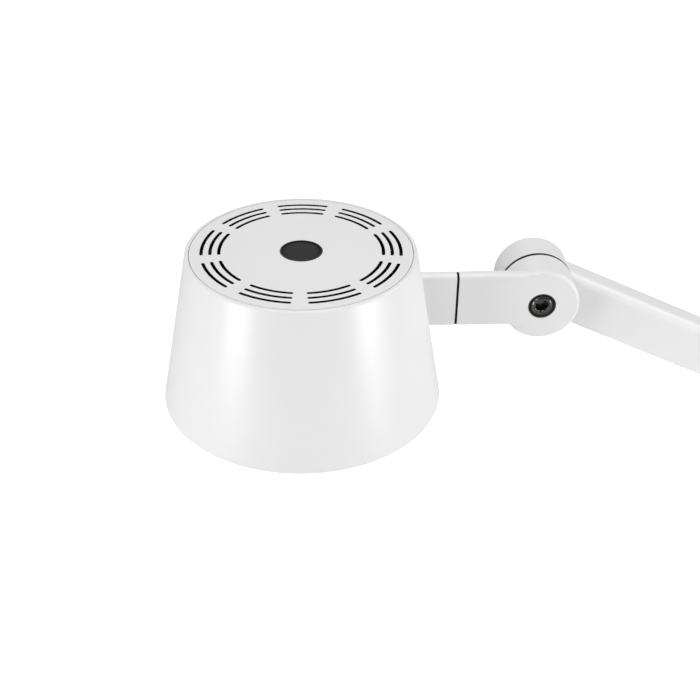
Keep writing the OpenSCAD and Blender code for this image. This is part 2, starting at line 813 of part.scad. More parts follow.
module diffuser() {
  color([0.95, 0.95, 0.92]) at_shade()
    translate([0, 0, light_z]) cylinder(r = inner_r(light_z + diffuser_t) - loose, h = diffuser_t, $fn = 128);
}
module trim_ring() {
  out = inner_r(light_z) - slack;
  color(white) at_shade() ring(out, out - trim_w, light_z - trim_h + 0.4, light_z);
}

base_cover();
base_weight();
foot_pad();
base_screws();
power_socket();
swivel_bush();
turret();
swivel_washer();
swivel_bolt();
swivel_spring_washer();
color(dark) translate(shoulder) hinge_bolt();  // shoulder_bolt
color(steel) translate(shoulder) hinge_nut();  // shoulder_nut
color(steel) translate(shoulder) hinge_spring();  // shoulder_spring_washer
color(dark) translate(shoulder) hinge_washer();  // shoulder_washer
color(white) translate(shoulder) hinge_cap();  // shoulder_cap
color(dark) translate(shoulder) hinge_bush();  // shoulder_bush
color(dark) translate(elbow) hinge_bush();  // elbow_bush
color(dark) translate(head) hinge_bush();  // head_bush
lower_arm();
lower_arm_cover();
lower_arm_wire();
upper_arm();
upper_arm_cover();
upper_arm_wire();
color(dark) at_far_disc(elbow) hinge_bolt();  // elbow_bolt
color(steel) at_far_disc(elbow) hinge_nut();  // elbow_nut
color(steel) at_far_disc(elbow) hinge_spring();  // elbow_spring_washer
color(dark) at_far_disc(elbow) hinge_washer();  // elbow_washer
color(white) at_far_disc(elbow) hinge_cap();  // elbow_cap
color(dark) at_far_disc(head) hinge_bolt();  // head_bolt
color(steel) at_far_disc(head) hinge_nut();  // head_nut
color(steel) at_far_disc(head) hinge_spring();  // head_spring_washer
color(dark) at_far_disc(head) hinge_washer();  // head_washer
color(white) at_far_disc(head) hinge_cap();  // head_cap
knuckle();
swivel_axle();
axle_nut();
axle_washer();
seam_gasket();
neck_stub();
neck_clamp();
neck_screws();
shade();
vent_plate();
button_bezel();
push_button();
button_switch();
heat_sink();
heat_sink_screws();
led_board();
leds();
reflector();
diffuser();
trim_ring();
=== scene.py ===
"""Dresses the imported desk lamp: finishes for its CAD nodes, finer pieces, studio and camera.

Metres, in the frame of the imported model: +Z up, origin under the base, shade on the -X side.
"""

import json
import logging
import math
from collections.abc import Callable
from dataclasses import dataclass, field
from enum import Enum

import bmesh
import bpy
from mathutils import Matrix, Vector

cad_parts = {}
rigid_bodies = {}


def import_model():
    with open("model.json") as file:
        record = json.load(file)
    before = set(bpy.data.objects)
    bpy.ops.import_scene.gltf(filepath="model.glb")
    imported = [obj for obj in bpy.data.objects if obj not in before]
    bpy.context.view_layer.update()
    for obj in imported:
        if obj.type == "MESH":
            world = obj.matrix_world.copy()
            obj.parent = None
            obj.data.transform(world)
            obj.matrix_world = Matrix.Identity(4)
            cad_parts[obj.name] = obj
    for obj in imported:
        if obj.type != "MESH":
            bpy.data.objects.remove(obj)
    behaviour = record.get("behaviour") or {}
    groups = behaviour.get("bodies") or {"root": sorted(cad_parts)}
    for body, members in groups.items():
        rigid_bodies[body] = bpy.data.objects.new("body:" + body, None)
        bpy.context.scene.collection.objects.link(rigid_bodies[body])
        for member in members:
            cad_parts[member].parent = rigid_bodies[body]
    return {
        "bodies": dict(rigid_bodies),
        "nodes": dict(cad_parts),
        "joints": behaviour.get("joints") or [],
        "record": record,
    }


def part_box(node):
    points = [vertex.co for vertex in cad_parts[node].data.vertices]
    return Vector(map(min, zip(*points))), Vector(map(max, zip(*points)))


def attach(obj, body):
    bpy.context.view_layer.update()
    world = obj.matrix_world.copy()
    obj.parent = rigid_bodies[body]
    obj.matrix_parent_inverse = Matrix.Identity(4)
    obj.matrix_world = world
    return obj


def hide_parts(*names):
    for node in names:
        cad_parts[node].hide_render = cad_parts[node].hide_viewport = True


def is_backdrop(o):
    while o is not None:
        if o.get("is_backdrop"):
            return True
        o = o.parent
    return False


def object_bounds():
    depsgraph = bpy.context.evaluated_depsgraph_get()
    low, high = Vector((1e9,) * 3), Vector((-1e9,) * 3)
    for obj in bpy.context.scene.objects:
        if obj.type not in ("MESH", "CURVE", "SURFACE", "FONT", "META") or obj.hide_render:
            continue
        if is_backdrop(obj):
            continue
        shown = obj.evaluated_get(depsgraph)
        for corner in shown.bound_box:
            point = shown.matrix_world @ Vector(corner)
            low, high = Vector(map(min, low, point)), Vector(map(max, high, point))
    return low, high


LOG = logging.getLogger("desk_lamp")
MM = 0.001
POLE = 1e-7
SIDE_SHARE = 0.45

SHADE_TOP_RADIUS = 50.0 * MM

Colour = tuple[float, float, float]
Outline = list[tuple[float, float]]
EndPlace = Callable[[float, float], float]
Tree = bpy.types.NodeTree
Node = bpy.types.Node
Socket = bpy.types.NodeSocket
Piece = bpy.types.Object
Material = bpy.types.Material
Value = float | int | bool | str | Vector | Socket


class Axis(Enum):
    """The axis that a turned piece is turned about."""

    Y = "Y"
    Z = "Z"

    def place(self, radius: float, along: float, angle: float) -> Vector:
        """Gives the point at a radius and an angle, at a distance along the axis.

        Args:
            radius: Distance from the axis.
            along: Distance along the axis.
            angle: Angle about the axis in radians.

        Returns:
            The point, relative to the piece's centre.
        """
        across, over = math.cos(angle) * radius, math.sin(angle) * radius
        if self is Axis.Y:
            return Vector((across, along, over))
        return Vector((across, over, along))


@dataclass(frozen=True)
class Finish:
    """One surface finish, built as a node material.

    The grain is a fine bump, and the cloud is a slow change of colour and roughness.
    """

    name: str
    colour: Colour
    roughness: float = 0.5
    metallic: float = 0.0
    specular: float = 0.5
    grain_per_metre: float = 900.0
    grain_depth: float = 0.00002
    cloud_per_metre: float = 18.0
    cloud_colour: float = 0.03
    cloud_roughness: float = 0.06
    cloud_edges: tuple[float, float] = (0.3, 0.7)
    cloud_detail: float = 3.0
    grain_detail: float = 4.0
    scatter: float = 0.0
    scatter_depth: float = 0.002

    def build(self) -> Material:
        """Makes the material.

        Returns:
            The node material of this finish.
        """
        material = bpy.data.materials.new(self.name)
        material.use_nodes = True
        tree = material.node_tree
        shader = tree.nodes["Principled BSDF"]
        shader.inputs["Metallic"].default_value = self.metallic
        shader.inputs["Specular IOR Level"].default_value = self.specular
        if self.scatter:
            shader.inputs["Subsurface Weight"].default_value = self.scatter
            shader.inputs["Subsurface Scale"].default_value = self.scatter_depth
        place = tree.nodes.new("ShaderNodeTexCoord").outputs["Object"]
        cloud = self.noise(tree, place, self.cloud_per_metre, self.cloud_detail)
        self.vary_colour(tree, cloud, shader)
        self.vary_roughness(tree, cloud, shader)
        self.add_grain(tree, place, shader)
        return material

    def noise(self, tree: Tree, place: Socket, scale: float, detail: float) -> Socket:
        """Adds a noise texture.

        Args:
            tree: The material's tree.
            place: The coordinates it reads.
            scale: Features per metre.
            detail: Octaves.

        Returns:
            The noise's value, from 0 to 1.
        """
        noise = tree.nodes.new("ShaderNodeTexNoise")
        noise.inputs["Scale"].default_value = scale
        noise.inputs["Detail"].default_value = detail
        tree.links.new(place, noise.inputs["Vector"])
        return noise.outputs["Fac"]

    def vary_colour(self, tree: Tree, cloud: Socket, shader: Node) -> None:
        """Lets the colour drift a little with the cloud.

        Args:
            tree: The material's tree.
            cloud: The noise that it follows.
            shader: The shader that it feeds.
        """
        ramp = tree.nodes.new("ShaderNodeValToRGB")
        low = [channel * (1.0 - self.cloud_colour) for channel in self.colour]
        high = [min(1.0, channel * (1.0 + self.cloud_colour)) for channel in self.colour]
        for stop, position, colour in zip(ramp.color_ramp.elements, self.cloud_edges, (low, high)):
            stop.position = position
            stop.color = (*colour, 1.0)
        tree.links.new(cloud, ramp.inputs["Fac"])
        tree.links.new(ramp.outputs["Color"], shader.inputs["Base Color"])

    def vary_roughness(self, tree: Tree, cloud: Socket, shader: Node) -> None:
        """Lets the roughness drift a little with the cloud.

        Args:
            tree: The material's tree.
            cloud: The noise that it follows.
            shader: The shader that it feeds.
        """
        spread = tree.nodes.new("ShaderNodeMapRange")
        spread.inputs["To Min"].default_value = self.roughness - self.cloud_roughness
        spread.inputs["To Max"].default_value = self.roughness + self.cloud_roughness
        tree.links.new(cloud, spread.inputs["Value"])
        tree.links.new(spread.outputs["Result"], shader.inputs["Roughness"])

    def bump(self, tree: Tree, height: Socket, depth: float) -> Node:
        """Adds a bump.

        Args:
            tree: The material's tree.
            height: The height from 0 to 1.
            depth: What a height of 1 stands for, in metres.

        Returns:
            The bump's node.
        """
        bump = tree.nodes.new("ShaderNodeBump")
        bump.inputs["Strength"].default_value = 1.0
        bump.inputs["Distance"].default_value = depth
        tree.links.new(height, bump.inputs["Height"])
        return bump

    def add_grain(self, tree: Tree, place: Socket, shader: Node) -> Node:
        """Adds the fine bump of the surface.

        Args:
            tree: The material's tree.
            place: The coordinates it reads.
            shader: The shader it feeds.

        Returns:
            The bump's node.
        """
        noise = self.noise(tree, place, self.grain_per_metre, self.grain_detail)
        grain = self.bump(tree, noise, self.grain_depth)
        tree.links.new(grain.outputs["Normal"], shader.inputs["Normal"])
        return grain


@dataclass(frozen=True)
class TurnedFinish(Finish):
    """A finish with fine turning rings about an axis through a centre."""

    centre: tuple[float, float, float] = (0.0, 0.0, 0.0)
    axis: Axis = Axis.Z
    ring_pitch: float = 0.0003
    ring_depth: float = 0.000004
    ring_wobble: float = 0.4
    wave_rings: float = 20.0

    def add_grain(self, tree: Tree, place: Socket, shader: Node) -> Node:
        """Adds turning rings under the fine bump.

        Args:
            tree: The material's tree.
            place: The coordinates it reads.
            shader: The shader it feeds.

        Returns:
            The fine bump's node.
        """
        centred = tree.nodes.new("ShaderNodeMapping")
        centred.inputs["Location"].default_value = [-value for value in self.centre]
        tree.links.new(place, centred.inputs["Vector"])
        rings = tree.nodes.new("ShaderNodeTexWave")
        rings.wave_type = "RINGS"
        rings.rings_direction = self.axis.value
        rings.inputs["Scale"].default_value = math.tau / self.wave_rings / self.ring_pitch
        rings.inputs["Distortion"].default_value = self.ring_wobble
        tree.links.new(centred.outputs["Vector"], rings.inputs["Vector"])
        grooves = self.bump(tree, rings.outputs["Fac"], self.ring_depth)
        grain = super().add_grain(tree, place, shader)
        tree.links.new(grooves.outputs["Normal"], grain.inputs["Normal"])
        return grain


class Finishes:
    """The lamp's finishes, each made once and named by the record's material slot."""

    def __init__(self) -> None:
        """Builds every finish that a material slot names."""
        coat = {"roughness": 0.33, "cloud_colour": 0.008, "cloud_roughness": 0.03}
        peel = {"grain_per_metre": 1500.0, "grain_depth": 0.000012}
        made = (
            Finish("white_paint", (0.83, 0.83, 0.828), **coat, **peel),
            Finish("white_aluminium", (0.83, 0.83, 0.828), **coat, **peel),
            Finish("white_plastic", (0.81, 0.81, 0.80), roughness=0.5,
                   grain_per_metre=3500.0, grain_depth=0.00001),
            Finish("reflector_white", (0.88, 0.88, 0.87), roughness=0.3, grain_depth=0.000004),
            Finish("cast_weight", (0.05, 0.05, 0.055), roughness=0.7,
                   grain_per_metre=500.0, grain_depth=0.0002),
            Finish("dark_rubber", (0.012, 0.012, 0.012), roughness=0.8,
                   grain_per_metre=2600.0, grain_depth=0.00004),
            Finish("black_plastic", (0.012, 0.012, 0.013), roughness=0.5,
                   grain_per_metre=3000.0, grain_depth=0.00001),
            Finish("button_grey", (0.026, 0.0255, 0.025), roughness=0.48,
                   grain_per_metre=3000.0, grain_depth=0.000012),
            Finish("button_black", (0.008, 0.0075, 0.007), roughness=0.35, grain_depth=0.000004),
            Finish("black_oxide_steel", (0.022, 0.022, 0.023), roughness=0.34,
                   metallic=0.85, grain_depth=0.000008),
            Finish("zinc_steel", (0.60, 0.61, 0.63), roughness=0.35,
                   metallic=1.0, grain_depth=0.000006),
            Finish("black_aluminium", (0.006, 0.006, 0.007), roughness=0.6, metallic=0.3),
            Finish("board_aluminium", (0.8, 0.81, 0.81), roughness=0.4, grain_depth=0.000004),
            Finish("led_chip", (0.9, 0.72, 0.2), roughness=0.4, grain_depth=0.000004),
            Finish("opal_diffuser", (0.88, 0.88, 0.865), roughness=0.42, scatter=0.35,
                   grain_per_metre=4200.0, grain_depth=0.00001),
            # Near-black, dull finish: painted shade for the insides of the slots and for the dark
            # gaps at the hinges and the neck's seam.
            Finish("painted_shade_black", (0.006, 0.006, 0.006), roughness=0.8, specular=0.15),
        )
        self.materials = {finish.name: finish.build() for finish in made}

    def add(self, finish: Finish) -> Material:
        """Builds one more finish, for a single piece, and gives its material."""
        self.materials[finish.name] = finish.build()
        return self.materials[finish.name]

    def dress(self, node: Piece, slot: str) -> None:
        """Gives a CAD node its finish.

        Args:
            node: The CAD node's object.
            slot: The record's material slot.
        """
        for place in node.material_slots:
            place.material = self.materials[slot]


class Workshop:
    """What every sub-assembly works with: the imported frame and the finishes."""

    def __init__(self) -> None:
        """Loads the frame and builds the finishes."""
        self.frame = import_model()
        self.cad_box = as_lists(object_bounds())
        self.finishes = Finishes()
        parts = self.frame["record"]["subparts"]
        self.slots = {part["node"]: part["material_slot"] for part in parts}

    def dress(self, *nodes: str) -> None:
        """Gives CAD nodes that stay the finish of their slot."""
        for node in nodes:
            self.finishes.dress(self.frame["nodes"][node], self.slots[node])
            LOG.info("dressed %s in %s", node, self.slots[node])

    def middle(self, node: str) -> Vector:
        """Gives the centre of a CAD node's box."""
        low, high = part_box(node)
        return (low + high) / 2

    def settle(self, piece: Piece, body: str, *nodes: str, slot: str | None = None) -> None:
        """Hangs a finished piece on its body in place of CAD nodes.

        Args:
            piece: The piece.
            body: The CAD body it rides on.
            nodes: The CAD nodes it stands for.
            slot: The record's material slot, or None for the slot of its first node.
        """
        name = slot or self.slots[nodes[0]]
        if not piece.data.materials:
            piece.data.materials.append(self.finishes.materials[name])
        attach(piece, body)
        if nodes:
            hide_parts(*nodes)
        LOG.info("built %s on %s", piece.name, body)


def as_lists(box: tuple[Vector, Vector]) -> list[list[float]]:
    """Turns a box into plain lists of numbers."""
    return [[float(value) for value in corner] for corner in box]


def plate_top() -> Vector:
    """Gives the middle of the vent plate's upper face."""
    low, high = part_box("vent_plate")
    return Vector(((low.x + high.x) / 2, (low.y + high.y) / 2, high.z))


def shade_slope() -> float:
    """Gives how much the shade's radius grows for each metre down."""
    low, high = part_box("shade")
    return ((high.x - low.x) / 2 - SHADE_TOP_RADIUS) / (high.z - low.z)


def softened(outline: Outline, radius: float, steps: int = 4) -> Outline:
    """Rounds the inner corners of an open outline.

    Args:
        outline: Points of radius and distance along the axis.
        radius: How far from each corner the rounding starts.
        steps: Points along each rounding.

    Returns:
        The outline with its corners rounded and its ends kept.
    """
    soft = [outline[0]]
    for before, corner, after in zip(outline, outline[1:], outline[2:]):
        start, point, end = Vector(before), Vector(corner), Vector(after)
        into, out = start - point, end - point
        into_cut = min(radius, into.length * SIDE_SHARE)
        out_cut = min(radius, out.length * SIDE_SHARE)
        first, last = point + into.normalized() * into_cut, point + out.normalized() * out_cut
        for step in range(steps + 1):
            share = step / steps
            mixed = first * (1 - share) ** 2 + point * 2 * share * (1 - share) + last * share**2
            soft.append((mixed.x, mixed.y))
    soft.append(outline[-1])
    return soft


def smooth(piece: Piece, sharp_deg: float = 32.0) -> None:
    """Shades a piece smoothly, with its hard edges kept.

    Args:
        piece: The piece.
        sharp_deg: Angle in degrees above which an edge stays hard.
    """
    for face in piece.data.polygons:
        face.use_smooth = True
    piece.data.set_sharp_from_angle(angle=math.radians(sharp_deg))


def kept(name: str, work: bmesh.types.BMesh) -> Piece:
    """Makes a piece of the scene from a finished working mesh.

    Args:
        name: The piece's name.
        work: The working mesh, which is freed.

    Returns:
        The piece, with its faces outwards.
    """
    bmesh.ops.recalc_face_normals(work, faces=work.faces)
    mesh = bpy.data.meshes.new(name)
    work.to_mesh(mesh)
    work.free()
    piece = bpy.data.objects.new(name, mesh)
    bpy.context.scene.collection.objects.link(piece)
    smooth(piece)
    return piece


def turned(
    name: str, outline: Outline, axis: Axis, centre: Vector, steps: int, loop: bool = False
) -> Piece:
    """Turns an outline about an axis.

    Args:
        name: The piece's name.
        outline: Points of radius and distance along the axis, open or as a closed loop.
        axis: The axis.
        centre: Where the axis starts.
        steps: Points around the axis.
        loop: True where the outline is a closed ring.

    Returns:
        The piece, at the origin with its place in its mesh.
    """
    work = bmesh.new()
    rings = []
    for radius, along in outline:
        if radius < POLE:
            rings.append([work.verts.new(centre + axis.place(0.0, along, 0.0))] * steps)
        else:
            places = (axis.place(radius, along, math.tau * k / steps) for k in range(steps))
            rings.append([work.verts.new(centre + place) for place in places])
    pairs = list(zip(rings, rings[1:]))
    if loop:
        pairs.append((rings[-1], rings[0]))
    for lower, upper in pairs:
        for k in range(steps):
            after = (k + 1) % steps
            corners = dict.fromkeys((lower[k], lower[after], upper[after], upper[k]))
            work.faces.new(list(corners))
    return kept(name, work)


class Recipe:
    """A Geometry Nodes tree with named inputs, run once and kept as a plain mesh."""

    def __init__(self, name: str) -> None:
        """Starts a tree that gives one geometry.

        Args:
            name: The tree's name.
        """
        self.tree = bpy.data.node_groups.new(name, "GeometryNodeTree")
        sockets = self.tree.interface
        sockets.new_socket("Geometry", in_out="OUTPUT", socket_type="NodeSocketGeometry")
        self.entry = self.tree.nodes.new("NodeGroupInput")
        self.exit = self.tree.nodes.new("NodeGroupOutput")

    def given(self, name: str, kind: str) -> Socket:
        """Adds a named input of one kind to the tree."""
        self.tree.interface.new_socket(name, in_out="INPUT", socket_type=f"NodeSocket{kind}")
        return self.entry.outputs[name]

    def size(self, name: str) -> Socket:
        """Adds a named length or angle to the tree's inputs."""
        return self.given(name, "Float")

    def count(self, name: str) -> Socket:
        """Adds a named count to the tree's inputs."""
        return self.given(name, "Int")

    def place(self, name: str) -> Socket:
        """Adds a named point to the tree's inputs."""
        return self.given(name, "Vector")

    def node(self, kind: str, inputs: dict[str, Value], **settings: str | bool) -> Node:
        """Adds a node.

        Args:
            kind: The node's type, without its GeometryNode prefix where it has one.
            inputs: Values or sockets for its inputs, by name.
            settings: The node's own properties.

        Returns:
            The node.
        """
        full = kind if kind.startswith(("Shader", "Function")) else "GeometryNode" + kind
        node = self.tree.nodes.new(full)
        for name, value in settings.items():
            setattr(node, name, value)
        for name, value in inputs.items():
            socket = next(s for s in node.inputs if s.name == name and s.enabled)
            if isinstance(value, Socket):
                self.tree.links.new(value, socket)
            else:
                socket.default_value = value
        return node

    def out(self, kind: str, inputs: dict[str, Value]) -> Socket:
        """Adds a node and gives its first output."""
        return self.node(kind, inputs).outputs[0]

    def math(self, operation: str, first: Value, second: Value = 0.0) -> Socket:
        """Adds a sum of one or two values and gives its result.

        Args:
            operation: What is done with the values.
            first: The first value.
            second: The second value, where the operation takes two.

        Returns:
            The result.
        """
        node = self.tree.nodes.new("ShaderNodeMath")
        node.operation = operation
        for socket, value in zip(node.inputs, (first, second)):
            if isinstance(value, Socket):
                self.tree.links.new(value, socket)
            else:
                socket.default_value = value
        return node.outputs[0]

    def times(self, first: Value, second: Value) -> Socket:
        """Multiplies two values."""
        return self.math("MULTIPLY", first, second)

    def vector(self, x: Value, y: Value, z: Value) -> Socket:
        """Adds a vector made of three values."""
        return self.out("ShaderNodeCombineXYZ", {"X": x, "Y": y, "Z": z})

    def joined(self, *parts: Socket) -> Socket:
        """Joins several geometries.

        Args:
            parts: The geometries.

        Returns:
            One geometry.
        """
        node = self.tree.nodes.new("GeometryNodeJoinGeometry")
        for part in parts:
            self.tree.links.new(part, node.inputs[0])
        return node.outputs[0]

    def position(self) -> Socket:
        """Reads the place of each point."""
        return self.out("InputPosition", {})

    def moved(self, part: Socket, offset: Value) -> Socket:
        """Moves a geometry."""
        return self.out("Transform", {"Geometry": part, "Translation": offset})

    def circle(self, points: int, radius: Value) -> Socket:
        """Adds a circle of curve points in the XY plane."""
        return self.out("CurvePrimitiveCircle", {"Resolution": points, "Radius": radius})

    def painted(self, part: Socket, material: Material, chosen: Value = True) -> Socket:
        """Gives a geometry, or the faces chosen, a material."""
        inputs = {"Geometry": part, "Selection": chosen, "Material": material}
        return self.out("SetMaterial", inputs)

    def around(self, part: Socket, count: Value, start: Value = 0.0) -> Socket:
        """Repeats a part around +Z.

        Args:
            part: The part, already at its distance from the axis.
            count: How many.
            start: The angle of the first in radians.

        Returns:
            The instances.
        """
        points = self.out("Points", {"Count": count})
        step = self.math("DIVIDE", math.tau, count)
        index = self.out("InputIndex", {})
        angle = self.math("ADD", self.times(index, step), start)
        turn = self.vector(0.0, 0.0, angle)
        placed = {"Points": points, "Instance": part, "Rotation": turn}
        return self.out("InstanceOnPoints", placed)

    def finish(self, part: Socket) -> None:
        """Ends the tree with real geometry."""
        real = self.out("RealizeInstances", {"Geometry": part})
        self.tree.links.new(real, self.exit.inputs[0])

    def run(self, name: str, values: dict[str, Value]) -> Piece:
        """Runs the tree and keeps its result.

        Args:
            name: The piece's name.
            values: A value for each named input.

        Returns:
            The piece as a plain mesh with no modifier.
        """
        piece = bpy.data.objects.new(name, bpy.data.meshes.new(name))
        modifier = piece.modifiers.new("recipe", "NODES")
        modifier.node_group = self.tree
        for item in self.tree.interface.items_tree:
            if item.in_out == "INPUT":
                modifier[item.identifier] = values[item.name]
        bpy.context.scene.collection.objects.link(piece)
        graph = bpy.context.evaluated_depsgraph_get()
        mesh = bpy.data.meshes.new_from_object(piece.evaluated_get(graph), depsgraph=graph)
        piece.modifiers.remove(modifier)
        piece.data = mesh
        smooth(piece)
        return piece


class SlottedPlate(Recipe):
    """A round plate with a hole and rings of curved slots, their walls painted near-black as shade.
    """

    END_POINTS = 40
    SLOT_POINTS = 110
    RIM_POINTS = 192
    HOLE_POINTS = 96
    WELD = 0.002 * MM
    RIM_SHARE = 0.97
    HOLE_SHARE = 1.2

    def __init__(self, skin: Material, edge: Material) -> None:
        """Builds the tree.

        Args:
            skin: The material of the faces and the rims.
            edge: The material of the slots' walls, a near-black that paints the shade inside the
                slots.
        """
        super().__init__("slotted_plate")
        radius, hole = self.size("Radius"), self.size("Hole radius")
        thickness = self.size("Thickness")
        groups, rows = self.count("Groups"), self.count("Rows")
        span, turn = self.size("Span"), self.size("Turn")
        first, pitch = self.size("First row radius"), self.size("Row pitch")
        width, place = self.size("Slot width"), self.place("Place")
        points = self.out("Points", {"Count": self.times(groups, rows)})
        index = self.out("InputIndex", {})
        group = self.math("FLOOR", self.math("DIVIDE", self.math("ADD", index, 0.5), rows))
        row = self.math("SUBTRACT", index, self.times(group, rows))
        marked = self.mark(self.mark(points, "slot_group", group), "slot_row", row)
        end = self.circle(self.END_POINTS, self.times(width, 0.5))
        slots = self.out("InstanceOnPoints", {"Points": marked, "Instance": end})
        slots = self.out("RealizeInstances", {"Geometry": slots})
        row_radius = self.math("SUBTRACT", first, self.times(self.read("slot_row"), pitch))
        slots = self.stretched(slots, self.times(self.times(row_radius, span), 0.5))
        slots = self.out("ResampleCurve", {"Curve": slots, "Count": self.SLOT_POINTS})
        step = self.math("DIVIDE", math.tau, groups)
        start = self.math("ADD", turn, self.times(self.read("slot_group"), step))
        slots = self.wrapped(slots, row_radius, start)
        outer, inner = self.circle(self.RIM_POINTS, radius), self.circle(self.HOLE_POINTS, hole)
        flat = self.out("FillCurve", {"Curve": self.joined(outer, inner, slots)})
        upwards = {"Offset": self.vector(0.0, 0.0, 1.0), "Offset Scale": thickness}
        raised = self.node("ExtrudeMesh", {"Mesh": flat, **upwards, "Individual": False})
        under = self.out("FlipFaces", {"Mesh": flat})
        body = self.painted(self.joined(raised.outputs["Mesh"], under), skin)
        # The slots' walls get the near-black: painted shade inside the slots.
        body = self.painted(body, edge, self.slot_walls(raised.outputs["Side"], radius, hole))
        body = self.out("MergeByDistance", {"Geometry": body, "Distance": self.WELD})
        self.finish(self.moved(body, place))

    def mark(self, part: Socket, name: str, value: Socket) -> Socket:
        """Stores a value on every point under a name."""
        return self.out("StoreNamedAttribute", {"Geometry": part, "Name": name, "Value": value})

    def read(self, name: str) -> Socket:
        """Reads a stored value."""
        return self.out("InputNamedAttribute", {"Name": name})

    def stretched(self, slots: Socket, half: Socket) -> Socket:
        """Pulls each circle apart along X into a slot with round ends.

        Args:
            slots: The circles.
            half: How far each half of a circle is pulled out.

        Returns:
            The straight slots.
        """
        here = self.node("ShaderNodeSeparateXYZ", {"Vector": self.position()})
        offset = self.vector(self.times(self.math("SIGN", here.outputs["X"]), half), 0.0, 0.0)
        return self.out("SetPosition", {"Geometry": slots, "Offset": offset})

    def wrapped(self, slots: Socket, radius: Socket, start: Socket) -> Socket:
        """Bends each straight slot round the axis at its row's radius.

        Args:
            slots: The straight slots.
            radius: The radius of each slot's row.
            start: The angle of each slot's middle in radians.

        Returns:
            The curved slots.
        """
        here = self.node("ShaderNodeSeparateXYZ", {"Vector": self.position()})
        angle = self.math("ADD", self.math("DIVIDE", here.outputs["X"], radius), start)
        reach = self.math("ADD", radius, here.outputs["Y"])
        across = self.times(reach, self.math("COSINE", angle))
        over = self.times(reach, self.math("SINE", angle))
        place = self.vector(across, over, 0.0)
        return self.out("SetPosition", {"Geometry": slots, "Position": place})

    def slot_walls(self, side: Socket, radius: Socket, hole: Socket) -> Socket:
        """Chooses the upright faces that lie between the hole's rim and the outer rim.

        Args:
            side: Whether a face is upright.
            radius: The plate's radius.
            hole: The hole's radius.

        Returns:
            Whether a face is the wall of a slot.
        """
        here = self.position()
        reach = self.tree.nodes.new("ShaderNodeVectorMath")
        reach.operation = "LENGTH"
        self.tree.links.new(here, reach.inputs[0])
        inside = self.math("LESS_THAN", reach.outputs["Value"], self.times(radius, self.RIM_SHARE))
        beyond = self.times(hole, self.HOLE_SHARE)
        outside = self.math("GREATER_THAN", reach.outputs["Value"], beyond)
        return self.times(side, self.times(inside, outside))


class Knurl(Recipe):
    """Fine ridges around a screw head whose axis lies along Y."""

    ROD_POINTS = 8

    def __init__(self, metal: Material) -> None:
        """Builds the tree in one metal.

        Args:
            metal: The bolt's material.
        """
        super().__init__("knurl")
        count, radius = self.count("Count"), self.size("Radius")
        ridge, length, place = self.size("Ridge radius"), self.size("Length"), self.place("Place")
        shape = {"Vertices": self.ROD_POINTS, "Radius": ridge, "Depth": length}
        rod = self.moved(self.out("MeshCylinder", shape), self.vector(radius, 0.0, 0.0))
        ring = self.out("RealizeInstances", {"Geometry": self.around(rod, count)})
        turn = {"Rotation": Vector((math.pi / 2, 0.0, 0.0)), "Translation": place}
        laid = self.out("Transform", {"Geometry": ring, **turn})
        self.finish(self.painted(laid, metal))


class ChipRings(Recipe):
    """Two rings of lights, each a white package with a round yellow window, facing down."""

    WINDOW_POINTS = 24
    WINDOW_SHARE = 0.38
    WINDOW_THICKNESS = 0.2
    WINDOW_HEIGHT = -0.42

    def __init__(self, package: Material, window: Material) -> None:
        """Builds the tree from the materials of a light's package and window.

        Args:
            package: The material of a light's body.
            window: The material of its window.
        """
        super().__init__("light_rings")
        outer_count, inner_count = self.count("Outer count"), self.count("Inner count")
        outer, inner = self.size("Outer radius"), self.size("Inner radius")
        edge, height, place = self.size("Edge"), self.size("Height"), self.place("Place")
        box = self.out("MeshCube", {"Size": self.vector(edge, edge, height)})
        box = self.painted(box, package)
        shape = {
            "Vertices": self.WINDOW_POINTS,
            "Radius": self.times(edge, self.WINDOW_SHARE),
            "Depth": self.times(height, self.WINDOW_THICKNESS),
        }
        lens = self.out("MeshCylinder", shape)
        sunk = self.vector(0.0, 0.0, self.times(height, self.WINDOW_HEIGHT))
        lens = self.painted(self.moved(lens, sunk), window)
        chip = self.joined(box, lens)
        rings = []
        for radius, count in ((outer, outer_count), (inner, inner_count)):
            out = self.moved(chip, self.vector(radius, 0.0, 0.0))
            rings.append(self.around(out, count, self.math("DIVIDE", math.pi, count)))
        real = self.out("RealizeInstances", {"Geometry": self.joined(*rings)})
        self.finish(self.moved(real, place))


@dataclass
class Foot:
    """The round foot: cover, weight, pad, screws, bush and the inlet at the back."""

    def build(self, shop: Workshop) -> None:
        """Dresses the foot's nodes."""
        shop.dress("base_cover", "base_weight", "foot_pad")
        shop.dress("base_screws", "power_socket", "swivel_bush")


